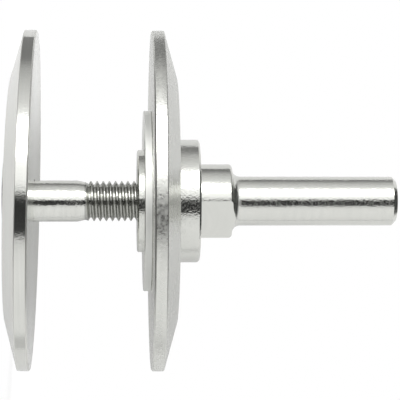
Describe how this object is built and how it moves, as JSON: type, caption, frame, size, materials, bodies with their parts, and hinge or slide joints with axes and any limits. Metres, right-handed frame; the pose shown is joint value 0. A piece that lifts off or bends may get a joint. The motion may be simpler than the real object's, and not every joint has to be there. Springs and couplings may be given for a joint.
{
  "type": "flap wheel mandrel",
  "caption": "Clamping mandrel for an unmounted flap wheel: dished steel flanges drawn together by a countersunk screw, on an arbor with spanner flats and a plain round shank.",
  "frame": {"origin": "centre of the outer face of the bolt head, on which the mandrel stands", "axes": "+Z along the mandrel's axis, from the bolt head towards the end of the drive shank"},
  "size_m": [0.0832, 0.083, 0.0959],
  "materials": {
    "arbor_steel": "turned, bright zinc plated",
    "flange_steel": "turned, bright zinc plated",
    "bolt_steel": "rolled thread, bright zinc plated"
  },
  "bodies": {
    "arbor": {"arbor": "arbor_steel", "rear_flange": "flange_steel", "centring_disc": "flange_steel"},
    "front_flange": {"front_flange": "flange_steel"},
    "clamp_bolt": {"clamp_bolt": "bolt_steel"}
  },
  "joints": [
    {"name": "clamp_travel", "type": "slide", "parent": "arbor", "child": "front_flange", "axis": [0, 0, 1], "range_m": [-0.0105, 0.009]},
    {"name": "bolt_turn", "type": "hinge", "parent": "front_flange", "child": "clamp_bolt", "pos_m": [0, 0, 0], "axis": [0, 0, 1], "range_deg": [-2525, 2165]}
  ],
  "couplings": [
    {"joint": "bolt_turn", "follows": "clamp_travel", "rad_per_m": 4188.8}
  ]
}
